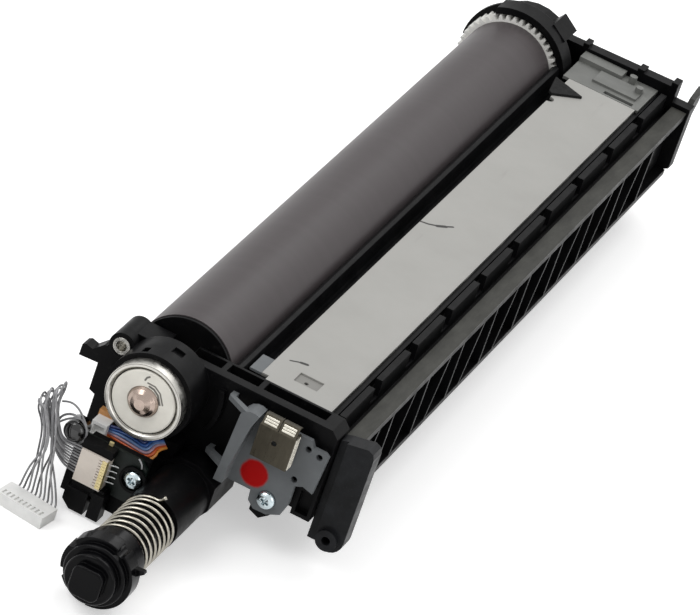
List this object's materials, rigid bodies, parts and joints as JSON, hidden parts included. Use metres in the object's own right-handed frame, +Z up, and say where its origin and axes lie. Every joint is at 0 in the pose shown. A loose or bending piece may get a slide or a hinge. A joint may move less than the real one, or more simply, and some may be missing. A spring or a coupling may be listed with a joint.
{
  "type": "photoconductor drum unit",
  "caption": "Photoconductor drum and developer unit of a colour copier, with a spring-closed toner inlet, drive gears at the rear and a wire harness at the front.",
  "frame": {"origin": "on the drum axis, in the front face of the front bearing", "axes": "+Y along the drum axis towards the rear drive gears, +X from the drum to the developer, +Z up"},
  "size_m": [0.1208, 0.4938, 0.0753],
  "materials": {
    "drum_coating": "smooth semi-gloss organic photoconductor coating, grey-brown",
    "black_plastic": "moulded black plastic, fine grain",
    "rail_plastic": "dark grey moulded plastic, slightly worn",
    "white_plastic": "off-white nylon",
    "cover_grey": "warm light grey sheet, satin",
    "bracket_grey": "blue-grey moulded plastic",
    "plate_grey": "mid grey plastic",
    "steel": "ground steel",
    "spring_steel": "bright spring wire",
    "sheet_steel": "bright rolled sheet steel",
    "bearing_cream": "cream plastic",
    "rubber_black": "soft black rubber",
    "foam": "dark foam",
    "roller_sleeve": "blasted aluminium",
    "board_green": "dark solder mask",
    "connector_cream": "cream nylon",
    "connector_white": "white nylon",
    "pin_gold": "plated pins",
    "wafer_tan": "tan plastic",
    "wire_grey": "grey wire insulation",
    "wire_colour": "coloured wire insulation",
    "screw_zinc": "bright zinc plate"
  },
  "bodies": {
    "frame": {"bearing_outer_race": "steel", "bearing_balls": "steel", "front_frame": "black_plastic", "guide_bush": "steel", "rear_frame": "black_plastic", "rear_bush": "white_plastic", "developer_case": "black_plastic", "rail_tip": "rail_plastic", "auger_trough": "black_plastic", "cover_plate": "cover_grey", "front_seal_tab": "bracket_grey", "rear_plate": "plate_grey", "rear_seal": "foam", "doctor_blade": "steel", "cleaning_case": "black_plastic", "cleaning_blade": "rubber_black", "blade_holder": "steel", "inlet_housing": "black_plastic", "inlet_pipe": "black_plastic", "shutter_spring": "spring_steel", "circuit_board": "board_green", "connector_holder": "black_plastic", "board_header": "connector_cream", "header_pins": "pin_gold", "sensor_header": "connector_white", "sensor_wafer": "wafer_tan", "harness_plug": "connector_white", "harness_wires": "wire_grey", "ribbon": "wire_colour", "wire_clip": "black_plastic", "wire_tie": "wire_grey", "contact_bracket": "bracket_grey", "terminal_box": "sheet_steel", "guide_arm": "black_plastic", "fixing_screws": "screw_zinc"},
    "drum": {"drum_tube": "drum_coating", "drum_front_flange": "black_plastic", "drum_gear": "white_plastic", "drum_shaft": "steel", "shaft_coupling": "black_plastic", "end_disc": "bearing_cream", "bearing_inner_race": "steel"},
    "developer": {"developer_roller": "roller_sleeve", "roller_shaft": "steel", "roller_gear": "white_plastic"},
    "supply": {"supply_auger": "black_plastic", "supply_gear": "white_plastic"},
    "collect": {"collect_auger": "black_plastic", "collect_gear": "white_plastic"},
    "mixing": {"mixing_auger": "black_plastic", "mixing_gear": "white_plastic"},
    "charge": {"charge_roller": "rubber_black", "charge_shaft": "steel"},
    "waste": {"waste_auger": "black_plastic", "waste_gear": "white_plastic"},
    "shutter": {"shutter_cap": "black_plastic"}
  },
  "joints": [
    {"name": "drum_spin", "type": "hinge", "parent": "frame", "child": "drum", "pos_m": [0, 0, 0], "axis": [0, 1, 0], "continuous": true},
    {"name": "developer_spin", "type": "hinge", "parent": "frame", "child": "developer", "pos_m": [0.02664, 0.2, -0.01231], "axis": [0, 1, 0], "continuous": true},
    {"name": "supply_spin", "type": "hinge", "parent": "frame", "child": "supply", "pos_m": [0.0464, 0.2, -0.01024], "axis": [0, 1, 0], "continuous": true},
    {"name": "collect_spin", "type": "hinge", "parent": "frame", "child": "collect", "pos_m": [0.0224, 0.2, -0.0339], "axis": [0, 1, 0], "continuous": true},
    {"name": "mixing_spin", "type": "hinge", "parent": "frame", "child": "mixing", "pos_m": [0.0424, 0.2, -0.0339], "axis": [0, 1, 0], "continuous": true},
    {"name": "charge_spin", "type": "hinge", "parent": "frame", "child": "charge", "pos_m": [-0.00229, 0.2, -0.0262], "axis": [0, 1, 0], "continuous": true},
    {"name": "waste_spin", "type": "hinge", "parent": "frame", "child": "waste", "pos_m": [-0.01993, 0.2, -0.02375], "axis": [0, 1, 0], "continuous": true},
    {"name": "shutter_slide", "type": "slide", "parent": "frame", "child": "shutter", "axis": [0, 1, 0], "range_m": [0, 0.016], "stiffness_N_per_m": 220, "springref_m": -0.006, "deforming": ["shutter_spring"]}
  ],
  "couplings": [
    {"joint": "charge_spin", "follows": "drum_spin", "ratio": -3.3333},
    {"joint": "waste_spin", "follows": "drum_spin", "ratio": -2.4444},
    {"joint": "collect_spin", "follows": "developer_spin", "ratio": -1.2},
    {"joint": "mixing_spin", "follows": "developer_spin", "ratio": 1.2},
    {"joint": "supply_spin", "follows": "developer_spin", "ratio": -0.85714}
  ]
}
